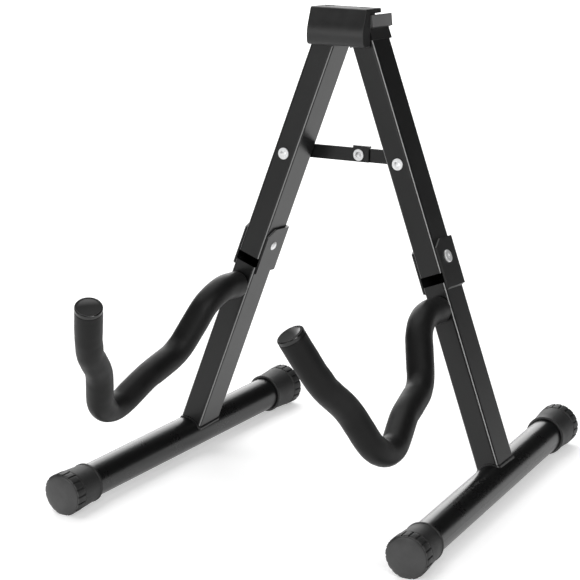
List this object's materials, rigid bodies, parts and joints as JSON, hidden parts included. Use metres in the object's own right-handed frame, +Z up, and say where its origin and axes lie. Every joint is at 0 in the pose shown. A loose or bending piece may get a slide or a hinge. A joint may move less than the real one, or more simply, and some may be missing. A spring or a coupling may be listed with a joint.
{
  "type": "folding guitar stand",
  "caption": "Folding A-frame floor stand for a guitar: two hinged legs under a moulded head, a folding spreader, foam-covered cradle arms and rubber-capped feet.",
  "frame": {"origin": "on the floor, at the middle of the whole stand's width and depth", "axes": "+X to the viewer's right seen from the front, -Y towards the front where the guitar rests, +Z up"},
  "size_m": [0.3474, 0.3668, 0.384],
  "materials": {
    "leg_paint": "satin black powder coat",
    "foot_paint": "gloss black paint",
    "arm_paint": "black paint under the foam",
    "weld": "painted weld bead",
    "zinc": "bright zinc plate",
    "head_plastic": "satin moulded plastic",
    "cap_plastic": "satin moulded plastic",
    "tip_plastic": "gloss moulded plastic",
    "foam": "matte closed-cell foam",
    "foot_rubber": "matte moulded rubber",
    "nylon": "black nylon washer"
  },
  "bodies": {
    "head": {"head_cover": "head_plastic", "head_plate": "leg_paint", "cover_screws": "leg_paint"},
    "left_upper": {"left_upper_leg": "leg_paint", "left_leg_cap": "cap_plastic", "left_pivot_rivet": "zinc", "left_pivot_washer": "nylon", "left_spreader_rivet": "zinc", "left_spreader_washer": "nylon"},
    "left_lower": {"left_knee_bracket": "leg_paint", "left_knee_rivet": "zinc", "left_knee_weld": "weld", "left_lower_leg": "leg_paint", "left_foot_weld": "weld", "left_foot_tube": "foot_paint", "left_front_foot_cap": "foot_rubber", "left_rear_foot_cap": "foot_rubber", "left_arm_rod": "arm_paint", "left_arm_foam": "foam", "left_arm_tip": "tip_plastic", "left_arm_weld": "weld"},
    "right_upper": {"right_upper_leg": "leg_paint", "right_leg_cap": "cap_plastic", "right_pivot_rivet": "zinc", "right_pivot_washer": "nylon", "right_spreader_rivet": "zinc", "right_spreader_spacer": "nylon"},
    "right_lower": {"right_knee_bracket": "leg_paint", "right_knee_rivet": "zinc", "right_knee_weld": "weld", "right_lower_leg": "leg_paint", "right_foot_weld": "weld", "right_foot_tube": "foot_paint", "right_front_foot_cap": "foot_rubber", "right_rear_foot_cap": "foot_rubber", "right_arm_rod": "arm_paint", "right_arm_foam": "foam", "right_arm_tip": "tip_plastic", "right_arm_weld": "weld"},
    "left_link": {"spreader_left_link": "leg_paint", "spreader_middle_rivet": "zinc"},
    "right_link": {"spreader_right_link": "leg_paint", "spreader_tail_rivet": "zinc"}
  },
  "joints": [
    {"name": "left_leg_close", "type": "hinge", "parent": "head", "child": "left_upper", "pos_m": [-0.01569, 0.08863, 0.3598], "axis": [0, -0.9929, 0.1193], "range_deg": [0, 19.2]},
    {"name": "right_leg_close", "type": "hinge", "parent": "head", "child": "right_upper", "pos_m": [0.01569, 0.08863, 0.3598], "axis": [0, -0.9929, 0.1193], "range_deg": [-19.21, 0]},
    {"name": "spreader_left_fold", "type": "hinge", "parent": "left_upper", "child": "left_link", "pos_m": [-0.05272, 0.07671, 0.26055], "axis": [0, -0.9929, 0.1193], "range_deg": [0, 51.1]},
    {"name": "spreader_right_fold", "type": "hinge", "parent": "left_link", "child": "right_link", "pos_m": [0, 0.07671, 0.26055], "axis": [0, -0.9929, 0.1193], "range_deg": [-140.58, 0]},
    {"name": "left_knee_fold", "type": "hinge", "parent": "left_upper", "child": "left_lower", "pos_m": [-0.0809, 0.06764, 0.18505], "axis": [-0.9377, 0.0414, 0.3449], "range_deg": [0, 98.02]},
    {"name": "right_knee_fold", "type": "hinge", "parent": "right_upper", "child": "right_lower", "pos_m": [0.0809, 0.06764, 0.18505], "axis": [-0.9377, -0.0414, -0.3449], "range_deg": [0, 98.02]}
  ],
  "couplings": [
    {"joint": "right_leg_close", "follows": "left_leg_close", "ratio": -1},
    {"joint": "spreader_left_fold", "follows": "left_leg_close", "ratio": 2.6604},
    {"joint": "spreader_right_fold", "follows": "left_leg_close", "ratio": -7.3208},
    {"joint": "left_knee_fold", "follows": "left_leg_close", "ratio": 5.1042},
    {"joint": "right_knee_fold", "follows": "left_leg_close", "ratio": 5.1042}
  ]
}
